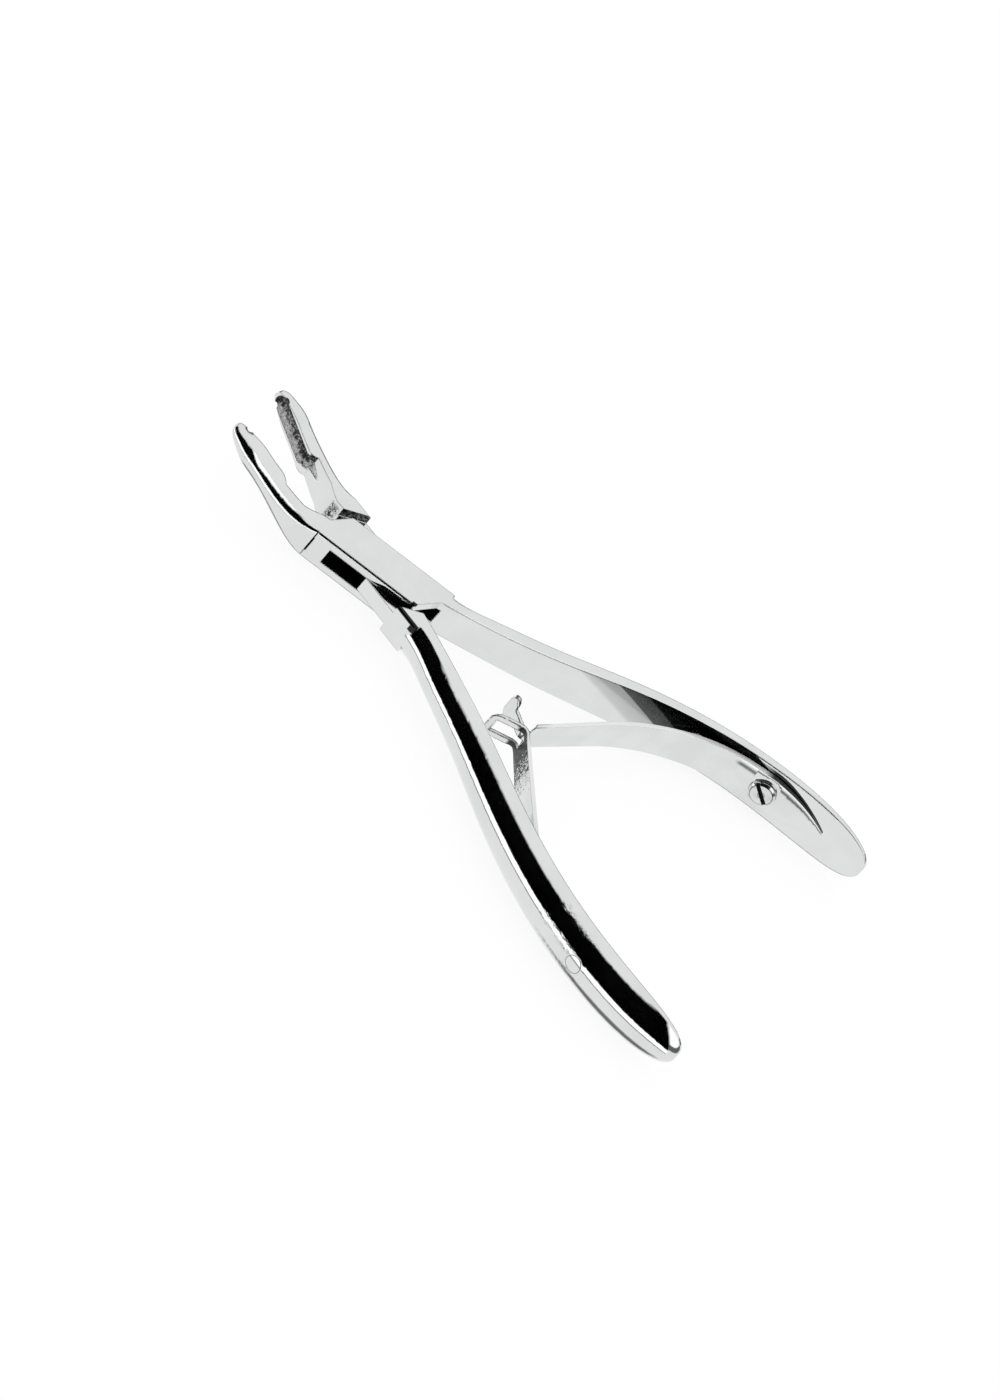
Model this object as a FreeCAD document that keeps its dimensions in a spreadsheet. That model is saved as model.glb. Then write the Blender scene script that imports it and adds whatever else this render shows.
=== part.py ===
import FreeCAD, Part

import math
import os

import Sketcher
from FreeCAD import Placement, Rotation, Vector

# Bone rongeur with a box lock, millimetres and degrees.
#
# The frame: the origin is on the pivot axis, in the plane of the box's underside. +Z runs up
# along the pivot, +X runs along the mid-line from the jaws to the handle ends, and +Y runs
# towards the handle of the slotted half. Both halves are drawn closed, about the pivot's
# middle, and each is then turned open by half of the opening angle.

DIMENSIONS = {
    # box lock
    "box_width": 10.4,
    "box_thickness": 8.0,
    "shoulder_outer_reach": 9.6,
    "shoulder_inner_reach": 14.0,
    "slot_height": 3.8,
    "slot_outer_reach": 10.2,
    "slot_inner_reach": 15.2,
    "tongue_clearance": 0.05,
    "tongue_edge_reach": 0.9,
    "tongue_slant_reach": 7.3,
    "crotch_gap": 1.2,
    "shoulder_gap": 0.1,
    "pin_diameter": 4.0,
    "pin_clearance": 0.04,
    "edge_rounding": 0.7,
    "open_half_angle": 11.25,
    # handles
    "handle_start_angle": 11.7,
    "handle_root_radius": 220.0,
    "handle_splay_angle": 22.5,
    "handle_bow_radius": 103.0,
    "handle_end_angle": 12.6,
    "root_breadth": 8.0,
    "grip_breadth": 12.2,
    "neck_thickness": 4.2,
    "grip_thickness": 5.3,
    "handle_crown_ratio": 0.55,
    # jaws
    "jaw_length": 39.9,
    "jaw_tip_rise": 9.1,
    "jaw_bend_reach": 18.0,
    "jaw_start_setback": 0.4,
    "jaw_face_gap": 0.1,
    "jaw_bend_breadth": 7.0,
    "jaw_cup_breadth": 4.7,
    "jaw_cup_width": 4.6,
    "cup_radius": 1.75,
    "cup_wall": 0.8,
    "bite_length": 12.8,
    "scoop_depth": 0.8,
    "scoop_width": 2.9,
    "scoop_length": 11.0,
    "relief_depth": 1.6,
    "relief_end_reach": 15.5,
    # leaf springs and their screws
    "screw_reach": 89.9,
    "screw_diameter": 3.8,
    "screw_clearance": 0.05,
    "screw_head_diameter": 5.8,
    "screw_head_height": 1.1,
    "screw_slot_width": 0.9,
    "screw_slot_depth": 0.6,
    "screw_seat_depth": 0.1,
    "leaf_width": 9.0,
    "leaf_thickness": 1.3,
    "leaf_tip_thickness": 0.8,
    "leaf_seat_gap": 0.04,
    "leaf_tail_reach": 104.7,
    "leaf_tail_length": 14.0,
    "hook_leave_reach": 86.0,
    "hook_first_radius": 36.0,
    "hook_first_angle": 27.0,
    "hook_second_radius": 57.0,
    "hook_second_angle": 49.0,
    "hook_corner_reach": 42.1,
    "hook_turn": 94.5,
    "hook_tip_length": 8.3,
    "hook_tip_width": 6.6,
    "hook_shoulder_lead": 0.5,
    "hook_neck_width": 2.4,
    "hook_head_width": 6.6,
    "hook_head_length": 2.1,
    "link_leave_reach": 71.0,
    "link_radius": 17.7,
    "link_angle": 42.0,
    "link_corner_offset": 1.6,
    "link_turn": 81.0,
    "link_tip_length": 7.9,
    "link_tip_width": 6.0,
    "link_neck_width": 5.2,
    "link_slot_width": 3.2,
    "link_slot_lead": 1.4,
    "link_slot_run": 4.9,
    "bend_radius": 1.3,
}

# thickness of the handle at the screw, as a share of the grip's greatest thickness
GRIP_SHARE_AT_SCREW = 0.98

doc = FreeCAD.newDocument("bone_rongeur")
dims = doc.addObject("Spreadsheet::Sheet", "dims")
for row, (alias, value) in enumerate(DIMENSIONS.items(), start=1):
    dims.set("A%d" % row, alias.replace("_", " "))
    dims.set("B%d" % row, str(value))
    dims.setAlias("B%d" % row, alias)
doc.recompute()


def value(expression):
    """The number that an expression on the sheet gives now."""
    return float(dims.evalExpression(expression))


def cell(alias):
    return value("dims." + alias)


# Sketch and feature helpers

def new_body(name):
    body = doc.addObject("PartDesign::Body", name)
    body.Label = name
    return body


def sketch_on(body, name, role, offset=Placement()):
    """A sketch on one of the body's own origin planes."""
    sketch = body.newObject("Sketcher::SketchObject", name)
    plane = [item for item in body.Origin.OriginFeatures if item.Role == role][0]
    sketch.AttachmentSupport = [(plane, "")]
    sketch.MapMode = "FlatFace"
    sketch.AttachmentOffset = offset
    return sketch


def pin_down(sketch, edge, end, x, y):
    """Tie one end of an edge to the sheet, as two coordinates from the sketch origin."""
    for kind, expression in (("DistanceX", x), ("DistanceY", y)):
        index = sketch.addConstraint(Sketcher.Constraint(kind, edge, end, value(expression)))
        sketch.setExpression("Constraints[%d]" % index, expression)


def arc_through(start, through, end):
    """A sketch arc through three points. Sketch arcs always run counter-clockwise."""
    curve = Part.Arc(start, through, end).toShape().Curve
    full = 2 * math.pi
    angles = [math.atan2(p.y - curve.Center.y, p.x - curve.Center.x) for p in (start, through, end)]
    first, middle, last = angles
    if (middle - first) % full > (last - first) % full:
        first, last = last, first
    rim = Part.Circle(curve.Center, Vector(0, 0, 1), curve.Radius)
    return Part.ArcOfCircle(rim, first, first + (last - first) % full)


def outline(sketch, corners, bulges=None):
    """A closed outline. Corners are pairs of expressions; bulges gives, for the edge that starts
    at a corner, a pair of expressions that the arc passes through."""
    bulges = bulges or {}
    first = sketch.GeometryCount
    points = [Vector(value(x), value(y), 0) for x, y in corners]
    count = len(points)
    for index, start in enumerate(points):
        end = points[(index + 1) % count]
        if index in bulges:
            through = Vector(value(bulges[index][0]), value(bulges[index][1]), 0)
            sketch.addGeometry(arc_through(start, through, end))
        else:
            sketch.addGeometry(Part.LineSegment(start, end))
    ends = []
    for index, start in enumerate(points):
        begins_at_start = sketch.getPoint(first + index, 1).distanceToPoint(start) < 1e-6
        ends.append((1, 2) if begins_at_start else (2, 1))
    for index in range(count):
        after = (index + 1) % count
        sketch.addConstraint(Sketcher.Constraint("Coincident", first + index, ends[index][1],
                                                 first + after, ends[after][0]))
    for index, (x, y) in enumerate(corners):
        pin_down(sketch, first + index, ends[index][0], x, y)
    for index, (x, y) in bulges.items():
        rim = sketch.addGeometry(Part.Point(Vector(value(x), value(y), 0)), True)
        pin_down(sketch, rim, 1, x, y)
        sketch.addConstraint(Sketcher.Constraint("PointOnObject", rim, 1, first + index))
    return sketch


def circle(sketch, x, y, diameter):
    """A circle whose centre and diameter are tied to the sheet."""
    centre = Vector(value(x), value(y), 0)
    edge = sketch.addGeometry(Part.Circle(centre, Vector(0, 0, 1), value(diameter) / 2))
    pin_down(sketch, edge, 3, x, y)
    index = sketch.addConstraint(Sketcher.Constraint("Diameter", edge, value(diameter)))
    sketch.setExpression("Constraints[%d]" % index, diameter)
    return sketch


def pad(body, sketch, length):
    feature = body.newObject("PartDesign::Pad", sketch.Name + "_pad")
    feature.Profile = sketch
    feature.Midplane = True
    feature.setExpression("Length", length)
    return feature


def pocket(body, sketch, length):
    feature = body.newObject("PartDesign::Pocket", sketch.Name + "_pocket")
    feature.Profile = sketch
    feature.Midplane = True
    feature.setExpression("Length", length)
    return feature


def loft(body, name, sections):
    feature = body.newObject("PartDesign::AdditiveLoft", name)
    feature.Profile = sections[0]
    feature.Sections = sections[1:]
    feature.Ruled = False
    return feature


def d_section(sketch, side, half_breadth, thickness, crown_ratio):
    """A section with a flat inner face on the sketch's upright axis, short flat sides and a
    bowed outer face. Side is 1 where outwards is the sketch's +X and -1 where it is -X. The
    crown ratio is the height of the bow over half the breadth."""
    sign = "" if side > 0 else "-"
    lip = "%s((%s) - (%s) * (%s))" % (sign, thickness, crown_ratio, half_breadth)
    crown = "%s(%s)" % (sign, thickness)
    corners = [("0", "-(%s)" % half_breadth), ("0", half_breadth), (lip, half_breadth),
               (lip, "-(%s)" % half_breadth)]
    return outline(sketch, corners, {2: (crown, "0")})


def rounded_section(sketch, side, half_breadth, thickness, rounding):
    """A section with a flat inner face on the sketch's upright axis and two rounded outer
    corners."""
    sign = "" if side > 0 else "-"
    lip = "%s((%s) - (%s))" % (sign, thickness, rounding)
    outer = "%s(%s)" % (sign, thickness)
    high = "((%s) - (%s))" % (half_breadth, rounding)
    bulge = "%s((%s) - (%s) * (1 - cos(45 deg)))" % (sign, thickness, rounding)
    rim = "((%s) - (%s) * (1 - cos(45 deg)))" % (half_breadth, rounding)
    corners = [("0", "-(%s)" % half_breadth), ("0", half_breadth), (lip, half_breadth), (outer, high),
               (outer, "-" + high), (lip, "-(%s)" % half_breadth)]
    return outline(sketch, corners, {2: (bulge, rim), 4: (bulge, "-" + rim)})


def blend(first, second, share):
    """The expression of a length between two others."""
    return "(%s) * %.4f + (%s) * %.4f" % (first, 1 - share, second, share)


# The line of a handle's inner face: two tangent arcs that start at the crotch of the lock

def handle_line(angle, on_bow):
    """Point of the inner face where its tangent has this angle, on the root arc or the bow."""
    start = math.radians(cell("handle_start_angle"))
    splay = math.radians(cell("handle_splay_angle"))
    root = cell("handle_root_radius")
    bow = cell("handle_bow_radius")
    x = cell("shoulder_inner_reach")
    y = cell("crotch_gap") / 2
    turn = math.radians(angle)
    if not on_bow:
        return x + root * (math.sin(turn) - math.sin(start)), y + root * (math.cos(start) - math.cos(turn))
    x += root * (math.sin(splay) - math.sin(start))
    y += root * (math.cos(start) - math.cos(splay))
    return x + bow * (math.sin(splay) - math.sin(turn)), y + bow * (math.cos(turn) - math.cos(splay))


def handle_angle_at(reach):
    """Tangent angle of the inner face at this distance along X, with the arc it is on."""
    start = math.radians(cell("handle_start_angle"))
    splay = math.radians(cell("handle_splay_angle"))
    change = handle_line(cell("handle_splay_angle"), False)[0]
    if reach < change:
        sine = math.sin(start) + (reach - cell("shoulder_inner_reach")) / cell("handle_root_radius")
        return math.degrees(math.asin(sine)), False
    sine = math.sin(splay) - (reach - change) / cell("handle_bow_radius")
    return math.degrees(math.asin(sine)), True


def handle_end():
    return handle_line(-cell("handle_end_angle"), True)[0]


def handle_sections(body, side):
    """Sections of a handle from the box to its rounded end. Each has its reach along X, half
    breadth, thickness and crown ratio."""
    root_half = "dims.root_breadth / 2"
    grip_half = "dims.grip_breadth / 2"
    neck = "dims.neck_thickness"
    grip = "dims.grip_thickness"
    crown = "dims.handle_crown_ratio"
    start = cell("shoulder_inner_reach")
    end = handle_end()
    span = end - start
    screw_share = " * %.3f" % GRIP_SHARE_AT_SCREW
    stations = [
        (start + 1.5, root_half, "dims.box_width / 2 - 0.7", crown + " * 0.7"),
        (start + 5.0, root_half, neck, crown + " * 0.85"),
        (start + 11.0, blend(root_half, grip_half, 0.03), blend(neck, grip, 0.45), crown + " * 0.95"),
        (start + span * 0.24, blend(root_half, grip_half, 0.24), blend(neck, grip, 0.9), crown),
        (start + span * 0.42, blend(root_half, grip_half, 0.64), grip, crown),
        (start + span * 0.61, blend(root_half, grip_half, 0.91), grip, crown),
        (cell("screw_reach"), grip_half, grip + screw_share, crown),
        (end - 10.0, grip_half + " * 0.95", grip + " * 0.82", crown),
        (end - 4.0, grip_half + " * 0.77", grip + " * 0.61", crown + " * 0.95"),
        (end - 1.0, grip_half + " * 0.49", grip + " * 0.42", crown + " * 0.95"),
        (end, grip_half + " * 0.20", grip + " * 0.26", crown + " * 0.9"),
    ]
    sections = []
    for number, (reach, half_breadth, thickness, crown_ratio) in enumerate(stations):
        angle, on_bow = handle_angle_at(reach)
        x, y = handle_line(angle, on_bow)
        place = Placement(Vector(side * y, 0, x), Rotation(Vector(0, 1, 0), side * angle))
        sketch = sketch_on(body, "handle_section_%02d" % number, "YZ_Plane", place)
        sections.append(d_section(sketch, side, half_breadth, thickness, crown_ratio))
    return sections


# The jaws rise out of the plane of the handles, from a bend just in front of the box

def jaw_rise(reach):
    """Height and slope of the jaw's centre line above the middle plane."""
    bend = cell("jaw_bend_reach")
    tip = cell("jaw_length")
    root = cell("shoulder_inner_reach") + cell("jaw_start_setback")
    slope = cell("jaw_tip_rise") / (tip - bend)
    if reach <= root:
        return 0.0, 0.0
    ease = 2 * (bend - root)
    if reach < root + ease:
        share = (reach - root) / ease
        return slope * ease * share * share / 2, math.degrees(math.atan(slope * share))
    return slope * (reach - bend), math.degrees(math.atan(slope))


def jaw_sections(body, side):
    """Sections of a jaw from the box to its tip. Side is 1 where the jaw lies at +Y."""
    root_half = "dims.box_thickness / 2"
    bend_half = "dims.jaw_bend_breadth / 2"
    cup_half = "dims.jaw_cup_breadth / 2"
    wide = "(dims.box_width - dims.jaw_face_gap) / 2"
    cup = "dims.jaw_cup_width"
    start = cell("shoulder_inner_reach") + cell("jaw_start_setback")
    tip = cell("jaw_length")
    span = tip - start
    stations = [
        (start, root_half, wide, "dims.edge_rounding"),
        (start + span * 0.15, bend_half, wide, "dims.edge_rounding * 2"),
        (start + span * 0.31, blend(bend_half, cup_half, 0.42), wide, cup_half + " * 0.92"),
        (start + span * 0.49, blend(bend_half, cup_half, 0.87), blend(wide, cup, 0.4), cup_half + " * 0.95"),
        (start + span * 0.68, cup_half, cup, cup_half + " * 0.92"),
        (start + span * 0.86, cup_half + " * 0.83", cup + " * 0.83", cup_half + " * 0.76"),
        (tip - 1.3, cup_half + " * 0.60", cup + " * 0.61", cup_half + " * 0.54"),
        (tip - 0.3, cup_half + " * 0.38", cup + " * 0.42", cup_half + " * 0.33"),
        (tip, cup_half + " * 0.20", cup + " * 0.28", cup_half + " * 0.16"),
    ]
    sections = []
    for number, (reach, half_breadth, thickness, rounding) in enumerate(stations):
        rise, slope = jaw_rise(reach)
        face = side * cell("jaw_face_gap") / 2
        place = Placement(Vector(face, rise, -reach), Rotation(Vector(1, 0, 0), slope))
        sketch = sketch_on(body, "jaw_section_%02d" % number, "YZ_Plane", place)
        sections.append(rounded_section(sketch, side, half_breadth, thickness, rounding))
    return sections


def jaw_groove(body, name, depth, corners, bulges):
    """A scoop turned about a line that runs along the jaw, this deep behind the biting plane.
    The profile starts at the tip."""
    rise, slope = jaw_rise(cell("jaw_length"))
    place = Placement(Vector(-cell("jaw_length"), rise, depth), Rotation(Vector(0, 0, 1), -slope))
    sketch = sketch_on(body, name + "_profile", "XZ_Plane", place)
    outline(sketch, corners, bulges)
    groove = body.newObject("PartDesign::Groove", name)
    groove.Profile = sketch
    groove.ReferenceAxis = (sketch, ["H_Axis"])
    groove.Angle = 360.0
    return groove


def cup_groove(body):
    """The cup between the biting edges."""
    nose = "dims.cup_wall"
    deep = "dims.cup_radius"
    lip_end = "dims.bite_length + 1.5"
    corners = [(nose, "0"), ("%s + %s" % (nose, deep), deep), (lip_end, deep), (lip_end + " + 2", "0")]
    bulge = ("%s + %s * (1 - cos(45 deg))" % (nose, deep), "%s * sin(45 deg)" % deep)
    return jaw_groove(body, "cup", 0.0, corners, {0: bulge})


def scoop_groove(body, side):
    """Behind the bite the cup runs on as a shallow scoop that ends in a point."""
    half_wide = "dims.scoop_width / 2"
    start = "dims.bite_length - 3"
    full = "dims.bite_length"
    end = "dims.bite_length + dims.scoop_length"
    corners = [(start, "0"), (full, half_wide), (end, "0")]
    bulge = ("%s + dims.scoop_length * 0.5" % full, "%s * 0.62" % half_wide)
    depth = value("dims.relief_depth + dims.scoop_depth - dims.scoop_width / 2")
    return jaw_groove(body, "scoop", -side * depth, corners, {1: bulge})


def relief_pocket(body, side):
    """The jaws bite along their cups only: behind them the inner faces stand back."""
    sign = "" if side > 0 else "-"
    deep = "%s(dims.relief_depth + dims.jaw_face_gap / 2)" % sign
    open_side = "%s(-1)" % sign
    front = "-(dims.jaw_length - dims.bite_length)"
    back = "-dims.relief_end_reach"
    corners = [(front, open_side), (front, "0"), (front + " + 2.2", deep), (back + " - 4", deep), (back, "0"),
               (back, open_side)]
    bulge = (front + " + 1.5", "%s(dims.relief_depth * 0.45)" % sign)
    sketch = outline(sketch_on(body, "relief_plan", "XY_Plane"), corners, {1: bulge})
    return pocket(body, sketch, "dims.box_thickness * 4")


def screw_hole(body, side):
    """The hole for the spring's screw, square to the inner face."""
    angle, on_bow = handle_angle_at(cell("screw_reach"))
    x, y = handle_line(angle, on_bow)
    place = Placement(Vector(x, 0, -side * y), Rotation(Vector(0, 1, 0), side * angle))
    sketch = sketch_on(body, "screw_hole_plan", "XZ_Plane", place)
    circle(sketch, "0", "0", "dims.screw_diameter")
    return pocket(body, sketch, "dims.grip_thickness * 4")


def pivot_hole(body, name, diameter):
    sketch = circle(sketch_on(body, name, "XY_Plane"), "0", "0", diameter)
    return pocket(body, sketch, "dims.box_thickness * 2")


def round_long_edges(body, base):
    """Round the long outer edges of the box, or of the roots that continue its outline."""
    doc.recompute()
    half_wide = cell("box_width") / 2
    half_thick = cell("box_thickness") / 2
    names = []
    for number, edge in enumerate(base.Shape.Edges, start=1):
        ends = [vertex.Point for vertex in edge.Vertexes]
        if len(ends) == 2 and all(abs(abs(end.y) - half_wide) < 1e-6 and abs(abs(end.z) - half_thick) < 1e-6
                                  for end in ends):
            names.append("Edge%d" % number)
    rounding = body.newObject("PartDesign::Fillet", base.Name + "_rounding")
    rounding.Base = (base, names)
    rounding.setExpression("Radius", "dims.edge_rounding")
    return rounding


# The slotted half: lower jaw, box and upper handle

def box_half():
    body = new_body("box_half")
    half_wide = "dims.box_width / 2"
    outer = "dims.shoulder_outer_reach"
    inner = "dims.shoulder_inner_reach"
    rise = "((%s + dims.crotch_gap / 2) / (%s - %s))" % (half_wide, inner, outer)
    face = "(dims.jaw_face_gap / 2)"
    jaw_start = "-(%s + dims.jaw_start_setback)" % inner
    corners = [
        (jaw_start, "-" + half_wide),
        (outer, "-" + half_wide),
        (inner, "dims.crotch_gap / 2"),
        ("%s + 1.5" % inner, "dims.crotch_gap / 2 + 0.32"),
        ("%s + 1.5" % inner, half_wide),
        ("-" + outer, half_wide),
        ("-(%s + (%s + %s) / %s)" % (outer, half_wide, face, rise), "-" + face),
        (jaw_start, "-" + face),
    ]
    block = pad(body, outline(sketch_on(body, "box_plan", "XY_Plane"), corners), "dims.box_thickness")
    round_long_edges(body, block)
    loft(body, "handle", handle_sections(body, 1))
    loft(body, "jaw", jaw_sections(body, -1))
    slot_out = "dims.slot_outer_reach"
    slot_in = "dims.slot_inner_reach"
    beyond = "(dims.box_width / 2 + 3)"
    lean = "((%s - %s) / (%s - dims.crotch_gap / 2))" % (slot_in, slot_out, half_wide)
    corners = [
        ("-(%s - 3 * %s)" % (slot_out, lean), "-" + beyond),
        (slot_in + " + 3", "-" + beyond),
        (slot_in, "dims.crotch_gap / 2"),
        ("%s - 3 * %s" % (slot_out, lean), beyond),
        ("-%s - 3" % slot_in, beyond),
        ("-" + slot_in, "-dims.crotch_gap / 2"),
    ]
    slot = outline(sketch_on(body, "slot_plan", "XY_Plane"), corners)
    pocket(body, slot, "dims.slot_height")
    pivot_hole(body, "box_pivot_hole", "dims.pin_diameter")
    relief_pocket(body, -1)
    cup_groove(body)
    scoop_groove(body, -1)
    screw_hole(body, 1)
    return body


# The tongue half: upper jaw, flat tongue through the slot and lower handle

def tongue_half():
    body = new_body("tongue_half")
    half_wide = "dims.box_width / 2"
    outer = "dims.shoulder_outer_reach"
    inner = "dims.shoulder_inner_reach"
    edge = "dims.tongue_edge_reach"
    slant = "dims.tongue_slant_reach"
    face = "(dims.jaw_face_gap / 2)"
    jaw_start = "-(%s + dims.jaw_start_setback)" % inner
    corners = [
        (inner, "-" + half_wide),
        (edge, "-" + half_wide),
        ("-" + slant, "-dims.jaw_face_gap * 3"),
        (jaw_start, face),
        (jaw_start, half_wide),
        ("-" + edge, half_wide),
        (slant, "dims.jaw_face_gap * 3"),
        (inner, "-dims.crotch_gap / 2"),
    ]
    pad(body, outline(sketch_on(body, "tongue_plan", "XY_Plane"), corners),
        "dims.slot_height - 2 * dims.tongue_clearance")
    # the full thickness starts at the shoulders, a small gap behind those of the box
    rise = "((%s + dims.crotch_gap / 2) / (%s - %s))" % (half_wide, inner, outer)
    shoulder = "(%s + dims.shoulder_gap)" % outer
    crotch = "(%s + (%s - dims.crotch_gap / 2) / %s)" % (shoulder, half_wide, rise)
    corners = [
        (shoulder, "-" + half_wide),
        (inner + " + 1.5", "-" + half_wide),
        (inner + " + 1.5", "-dims.crotch_gap / 2 - 0.32"),
        (crotch, "-dims.crotch_gap / 2"),
    ]
    pad(body, outline(sketch_on(body, "handle_root_plan", "XY_Plane"), corners), "dims.box_thickness")
    jaw_crotch = "(%s + (%s - %s) / %s)" % (shoulder, half_wide, face, rise)
    corners = [
        ("-" + shoulder, half_wide),
        (jaw_start, half_wide),
        (jaw_start, face),
        ("-" + jaw_crotch, face),
    ]
    block = pad(body, outline(sketch_on(body, "jaw_root_plan", "XY_Plane"), corners), "dims.box_thickness")
    round_long_edges(body, block)
    loft(body, "handle", handle_sections(body, -1))
    loft(body, "jaw", jaw_sections(body, 1))
    pivot_hole(body, "tongue_pivot_hole", "dims.pin_diameter + 2 * dims.pin_clearance")
    relief_pocket(body, 1)
    cup_groove(body)
    scoop_groove(body, 1)
    screw_hole(body, -1)
    return body


# The leaf springs. Each is the common solid of a bent strip seen from above and the leaf's
# outline seen from the side. The path runs from the tail on the handle to the free tip.

def unit(degrees):
    return Vector(math.cos(math.radians(degrees)), math.sin(math.radians(degrees)), 0)


def seat_node(reach, thickness):
    """A point of the strip's middle line where the strip lies along the handle's inner face."""
    angle, on_bow = handle_angle_at(reach)
    x, y = handle_line(angle, on_bow)
    heading = 180.0 + angle
    inward = unit(angle - 90.0)
    point = Vector(x, y, 0) + inward * (cell("leaf_seat_gap") + thickness / 2)
    return [point, heading]


def arc_node(node, radius, heading):
    """The node after an arc of this radius, up to a new heading."""
    point, old = node
    hand = 1.0 if heading > old else -1.0
    centre = point + unit(old + 90.0 * hand) * radius
    return [centre - unit(heading + 90.0 * hand) * radius, heading]


def line_node(node, length):
    point, heading = node
    return [point + unit(heading) * length, heading]


def hook_path():
    """Tail, seat, two easing arcs, a straight run, the sharp bend and the tip."""
    thick = cell("leaf_thickness")
    path = [seat_node(cell("leaf_tail_reach"), thick), seat_node(cell("hook_leave_reach"), thick)]
    path.append(arc_node(path[-1], cell("hook_first_radius"), 180.0 + cell("hook_first_angle")))
    path.append(arc_node(path[-1], cell("hook_second_radius"), 180.0 + cell("hook_second_angle")))
    return path + bent_end(path[-1], cell("hook_corner_reach"), cell("hook_turn"), cell("hook_tip_length"))


def link_path():
    thick = cell("leaf_thickness")
    path = [seat_node(cell("leaf_tail_reach"), thick), seat_node(cell("link_leave_reach"), thick)]
    path.append(arc_node(path[-1], cell("link_radius"), 180.0 + cell("link_angle")))
    corner = cell("hook_corner_reach") + cell("link_corner_offset")
    return path + bent_end(path[-1], corner, cell("link_turn"), cell("link_tip_length"))


def bent_end(node, corner_reach, turn, tip_length):
    """The straight run to the corner, the bend at it and the straight tip."""
    point, heading = node
    radius = cell("bend_radius")
    setback = radius * math.tan(math.radians(turn / 2))
    run = (point.x - corner_reach) / -unit(heading).x
    before = line_node(node, run - setback)
    after = arc_node(before, radius, heading - turn)
    return [before, after, line_node(after, tip_length - setback)]


def strip_plan(name, path, side):
    """The bent strip seen from above, thinning evenly towards its tip."""
    root = cell("leaf_thickness")
    tip = cell("leaf_tip_thickness")
    lengths = [0.0]
    for first, second in zip(path, path[1:]):
        lengths.append(lengths[-1] + (second[0] - first[0]).Length)
    thickness = [root + (tip - root) * length / lengths[-1] for length in lengths]
    sides = {1: [], -1: []}
    middles = {1: [], -1: []}
    for hand in sides:
        for (point, heading), thick in zip(path, thickness):
            sides[hand].append(point + unit(heading + 90.0 * hand) * (thick / 2))
        for index in range(len(path) - 1):
            middles[hand].append(strip_middle(path[index], path[index + 1],
                                              hand * (thickness[index] + thickness[index + 1]) / 4))
    points = sides[1] + sides[-1][::-1]
    bulges = {}
    last = len(path) - 1
    for index, middle in enumerate(middles[1]):
        if middle is not None:
            bulges[index] = middle
    for index, middle in enumerate(middles[-1]):
        if middle is not None:
            bulges[len(points) - 1 - index - 1] = middle
    sketch = doc.addObject("Sketcher::SketchObject", name)
    corners = [("%.5f" % point.x, "%.5f" % (side * point.y)) for point in points]
    rims = {key: ("%.5f" % point.x, "%.5f" % (side * point.y)) for key, point in bulges.items()}
    return outline(sketch, corners, rims)


def strip_middle(first, second, offset):
    """Where an offset arc between two nodes has its middle, or nothing for a straight run."""
    turn = second[1] - first[1]
    if abs(turn) < 0.01:
        return None
    chord = second[0] - first[0]
    radius = chord.Length / (2 * math.sin(math.radians(abs(turn) / 2)))
    hand = 1.0 if turn > 0 else -1.0
    centre = first[0] + unit(first[1] + 90.0 * hand) * radius
    middle = first[1] + turn / 2
    return centre - unit(middle + 90.0 * hand) * (radius - offset * hand)


def extrusion(name, sketch, length):
    feature = doc.addObject("Part::Extrusion", name)
    feature.Base = sketch
    feature.DirMode = "Normal"
    feature.Solid = True
    feature.Symmetric = True
    feature.setExpression("LengthFwd", length)
    return feature


def leaf_side(name, corners, bulges):
    """The leaf's outline seen from the side."""
    sketch = doc.addObject("Sketcher::SketchObject", name)
    sketch.Placement = Placement(Vector(0, 0, 0), Rotation(Vector(1, 0, 0), 90))
    return outline(sketch, corners, bulges)


def hook_side():
    """A pointed tail, full width at the screw, shoulders, the narrow neck and the wide head."""
    half = "dims.leaf_width / 2"
    tail = "dims.leaf_tail_reach"
    tip = "dims.hook_tip_width / 2"
    neck = "dims.hook_neck_width / 2"
    head = "dims.hook_head_width / 2"
    shoulder = "dims.hook_corner_reach + dims.hook_shoulder_lead"
    end = "%.4f" % (hook_path()[-1][0].x - 0.2)
    head_start = "%s + dims.hook_head_length" % end
    corners = [
        (tail, "0.5"),
        (tail + " - dims.leaf_tail_length", half),
        (shoulder + " + 0.3", tip),
        (shoulder, neck),
        (head_start, neck),
        (head_start, head + " - 0.6"),
        (head_start + " - 0.6", head),
        (end, head + " * 0.4"),
    ]
    tail_rim = (tail + " - dims.leaf_tail_length * 0.4", half + " * 0.64")
    return mirrored_leaf("hook_side", corners, {0: tail_rim, 6: (end + " + 0.6", head + " * 0.8")})


def link_side():
    """A pointed tail, full width at the screw, a long taper to the corner, the slotted end."""
    corner = "(dims.hook_corner_reach + dims.link_corner_offset)"
    half = "dims.leaf_width / 2"
    tail = "dims.leaf_tail_reach"
    tip = "dims.link_tip_width / 2"
    end = "%.4f" % (link_path()[-1][0].x - 0.1)
    corners = [
        (tail, "0.5"),
        (tail + " - dims.leaf_tail_length", half),
        (corner + " + dims.link_slot_lead", "dims.link_neck_width / 2"),
        (corner + " - 1.5", tip),
        (end + " + 1.8", tip),
        (end, tip + " * 0.4"),
    ]
    tail_rim = (tail + " - dims.leaf_tail_length * 0.4", half + " * 0.64")
    return mirrored_leaf("link_side", corners, {0: tail_rim, 4: (end + " + 0.5", tip + " * 0.8")})


def mirrored_leaf(name, corners, bulges):
    """Complete an upper outline, which starts at the tail, with its mirror image."""
    lower = [(x, "-(%s)" % y) for x, y in reversed(corners)]
    count = len(corners)
    rims = dict(bulges)
    for index, (x, y) in bulges.items():
        rims[2 * count - 2 - index] = (x, "-(%s)" % y)
    return leaf_side(name, corners + lower, rims)


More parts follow.
